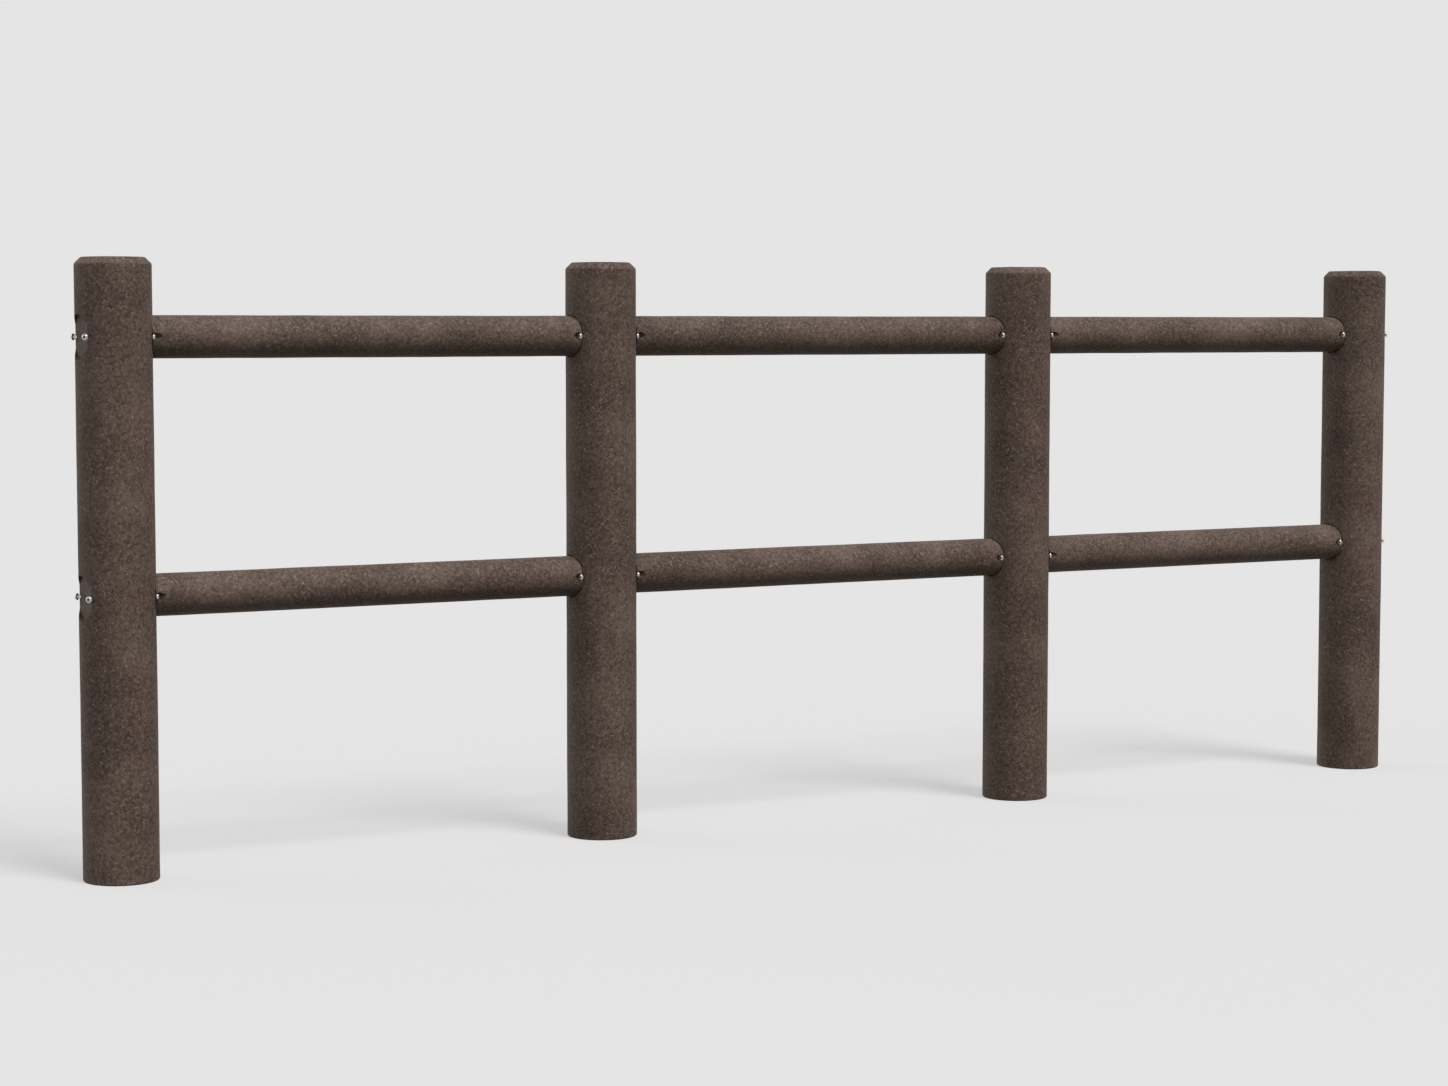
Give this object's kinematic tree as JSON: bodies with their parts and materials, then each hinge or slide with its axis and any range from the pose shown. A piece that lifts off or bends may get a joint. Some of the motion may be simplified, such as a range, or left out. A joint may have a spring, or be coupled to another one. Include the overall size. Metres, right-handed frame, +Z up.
{
  "type": "park fence",
  "caption": "Low park fence of round recycled-plastic posts with upper and lower round rails seated and screwed into them, running on in bays.",
  "frame": {"origin": "centre of the flat base of the first post, at ground level", "axes": "+X along the fence towards the last post, -Y towards the front, +Z up"},
  "size_m": [3.065, 0.14, 1.14],
  "materials": {
    "recycled_plastic": "matt brown recycled plastic with fine mottling and light flecks",
    "stainless_steel": "satin stainless steel"
  },
  "bodies": {
    "root": {"post_1": "recycled_plastic", "post_2": "recycled_plastic", "post_3": "recycled_plastic", "post_4": "recycled_plastic", "upper_rail_1": "recycled_plastic", "lower_rail_1": "recycled_plastic", "upper_rail_2": "recycled_plastic", "lower_rail_2": "recycled_plastic", "upper_rail_3": "recycled_plastic", "lower_rail_3": "recycled_plastic", "screw_1_upper_left_front": "stainless_steel", "screw_1_upper_left_back": "stainless_steel", "screw_1_upper_right_front": "stainless_steel", "screw_1_upper_right_back": "stainless_steel", "screw_1_lower_left_front": "stainless_steel", "screw_1_lower_left_back": "stainless_steel", "screw_1_lower_right_front": "stainless_steel", "screw_1_lower_right_back": "stainless_steel", "screw_2_upper_left_front": "stainless_steel", "screw_2_upper_left_back": "stainless_steel", "screw_2_upper_right_front": "stainless_steel", "screw_2_upper_right_back": "stainless_steel", "screw_2_lower_left_front": "stainless_steel", "screw_2_lower_left_back": "stainless_steel", "screw_2_lower_right_front": "stainless_steel", "screw_2_lower_right_back": "stainless_steel", "screw_3_upper_left_front": "stainless_steel", "screw_3_upper_left_back": "stainless_steel", "screw_3_upper_right_front": "stainless_steel", "screw_3_upper_right_back": "stainless_steel", "screw_3_lower_left_front": "stainless_steel", "screw_3_lower_left_back": "stainless_steel", "screw_3_lower_right_front": "stainless_steel", "screw_3_lower_right_back": "stainless_steel", "screw_4_upper_left_front": "stainless_steel", "screw_4_upper_left_back": "stainless_steel", "screw_4_upper_right_front": "stainless_steel", "screw_4_upper_right_back": "stainless_steel", "screw_4_lower_left_front": "stainless_steel", "screw_4_lower_left_back": "stainless_steel", "screw_4_lower_right_front": "stainless_steel", "screw_4_lower_right_back": "stainless_steel"}
  },
  "joints": []
}
